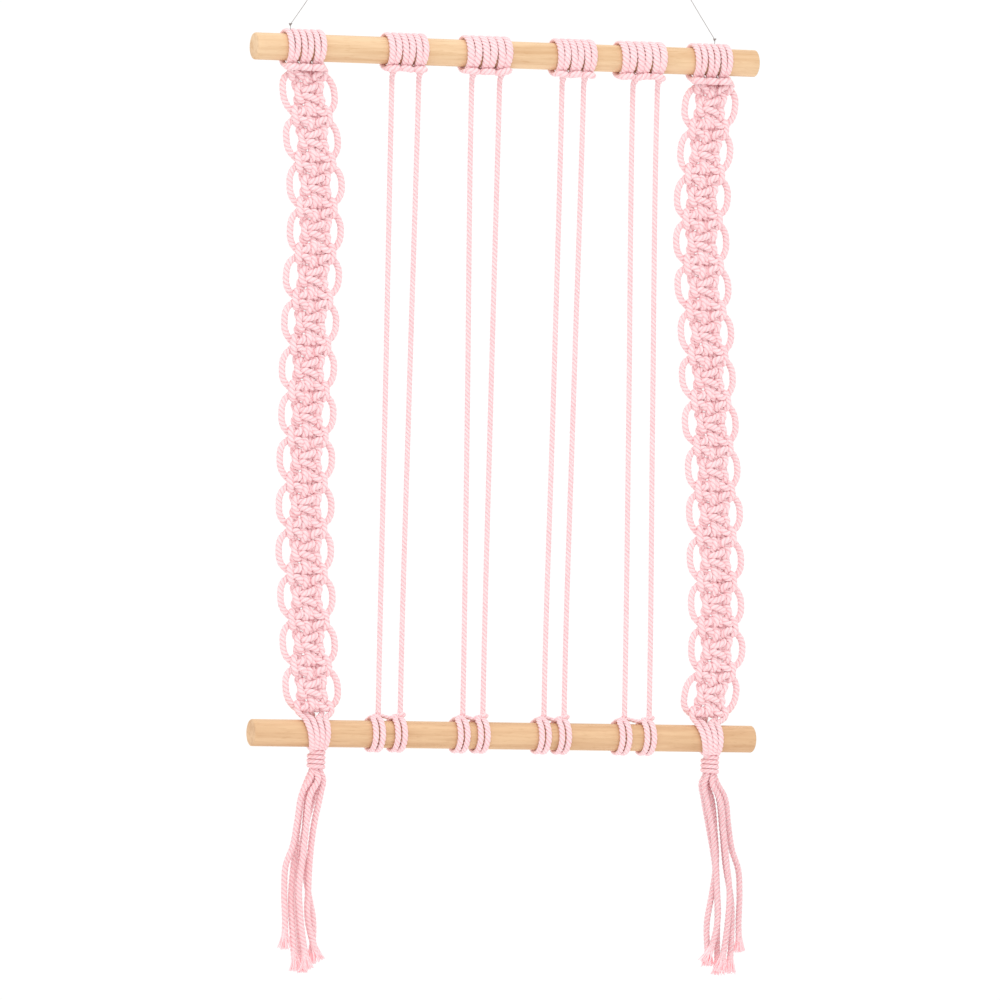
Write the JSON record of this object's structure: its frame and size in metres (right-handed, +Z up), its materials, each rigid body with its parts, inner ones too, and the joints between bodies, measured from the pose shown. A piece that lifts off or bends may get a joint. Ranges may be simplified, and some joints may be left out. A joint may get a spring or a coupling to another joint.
{
  "type": "macrame wall hanging",
  "caption": "Macrame wall hanger for hair clips: wooden dowels joined by knotted straps with picot loops and by pairs of plain cords, with tassels below and hanging threads on top.",
  "frame": {"origin": "middle of the upper dowel, on its axis", "axes": "+X along the dowels to the right, -Y to the front, +Z up"},
  "size_m": [0.3065, 0.0218, 0.5599],
  "materials": {
    "beech": "pale sanded beech, bare",
    "cotton_cord": "pale pink three-ply twisted cotton cord",
    "hanging_thread": "thin pale thread"
  },
  "bodies": {
    "hanging_frame": {"upper_dowel": "beech", "left_thread_tie": "hanging_thread", "left_hanging_thread": "hanging_thread", "left_hanging_eye": "hanging_thread", "right_thread_tie": "hanging_thread", "right_hanging_thread": "hanging_thread", "right_hanging_eye": "hanging_thread"},
    "panel": {"left_strap_hitch": "cotton_cord", "left_strap_core": "cotton_cord", "left_strap_left_edge_cord": "cotton_cord", "left_strap_right_edge_cord": "cotton_cord", "right_strap_hitch": "cotton_cord", "right_strap_core": "cotton_cord", "right_strap_left_edge_cord": "cotton_cord", "right_strap_right_edge_cord": "cotton_cord"},
    "lower_dowel": {"lower_dowel": "beech"},
    "pair_1": {"pair_1_upper_hitch": "cotton_cord", "pair_1_left_cord": "cotton_cord", "pair_1_right_cord": "cotton_cord", "pair_1_lower_hitch": "cotton_cord"},
    "pair_2": {"pair_2_upper_hitch": "cotton_cord", "pair_2_left_cord": "cotton_cord", "pair_2_right_cord": "cotton_cord", "pair_2_lower_hitch": "cotton_cord"},
    "pair_3": {"pair_3_upper_hitch": "cotton_cord", "pair_3_left_cord": "cotton_cord", "pair_3_right_cord": "cotton_cord", "pair_3_lower_hitch": "cotton_cord"},
    "pair_4": {"pair_4_upper_hitch": "cotton_cord", "pair_4_left_cord": "cotton_cord", "pair_4_right_cord": "cotton_cord", "pair_4_lower_hitch": "cotton_cord"},
    "left_gathering": {"left_saddle_cords": "cotton_cord", "left_gathering_wrap": "cotton_cord"},
    "left_tassel": {"left_tassel_cord_1": "cotton_cord", "left_tassel_cord_2": "cotton_cord", "left_tassel_cord_3": "cotton_cord", "left_tassel_cord_4": "cotton_cord", "left_tassel_cord_5": "cotton_cord", "left_tassel_cord_6": "cotton_cord"},
    "right_gathering": {"right_saddle_cords": "cotton_cord", "right_gathering_wrap": "cotton_cord"},
    "right_tassel": {"right_tassel_cord_1": "cotton_cord", "right_tassel_cord_2": "cotton_cord", "right_tassel_cord_3": "cotton_cord", "right_tassel_cord_4": "cotton_cord", "right_tassel_cord_5": "cotton_cord", "right_tassel_cord_6": "cotton_cord"}
  },
  "joints": [
    {"name": "panel_swing", "type": "hinge", "parent": "hanging_frame", "child": "panel", "pos_m": [0, 0, 0], "axis": [1, 0, 0], "range_deg": [-45, 45]},
    {"name": "lower_dowel_turn", "type": "hinge", "parent": "panel", "child": "lower_dowel", "pos_m": [0.0065, 0, -0.378], "axis": [1, 0, 0], "continuous": true},
    {"name": "pair_1_slide", "type": "slide", "parent": "panel", "child": "pair_1", "axis": [1, 0, 0], "range_m": [-0.006, 0.006]},
    {"name": "pair_2_slide", "type": "slide", "parent": "panel", "child": "pair_2", "axis": [1, 0, 0], "range_m": [-0.006, 0.006]},
    {"name": "pair_3_slide", "type": "slide", "parent": "panel", "child": "pair_3", "axis": [1, 0, 0], "range_m": [-0.006, 0.006]},
    {"name": "pair_4_slide", "type": "slide", "parent": "panel", "child": "pair_4", "axis": [1, 0, 0], "range_m": [-0.006, 0.006]},
    {"name": "left_gathering_swing", "type": "hinge", "parent": "panel", "child": "left_gathering", "pos_m": [-0.1046, 0, -0.378], "axis": [1, 0, 0], "range_deg": [-25, 25]},
    {"name": "left_tassel_sway", "type": "hinge", "parent": "left_gathering", "child": "left_tassel", "pos_m": [-0.1046, 0, -0.398], "axis": [0, 1, 0], "range_deg": [-30, 30], "stiffness_Nm_per_rad": 0.02},
    {"name": "right_gathering_swing", "type": "hinge", "parent": "panel", "child": "right_gathering", "pos_m": [0.1314, 0, -0.378], "axis": [1, 0, 0], "range_deg": [-25, 25]},
    {"name": "right_tassel_sway", "type": "hinge", "parent": "right_gathering", "child": "right_tassel", "pos_m": [0.1314, 0, -0.398], "axis": [0, 1, 0], "range_deg": [-30, 30], "stiffness_Nm_per_rad": 0.02}
  ]
}
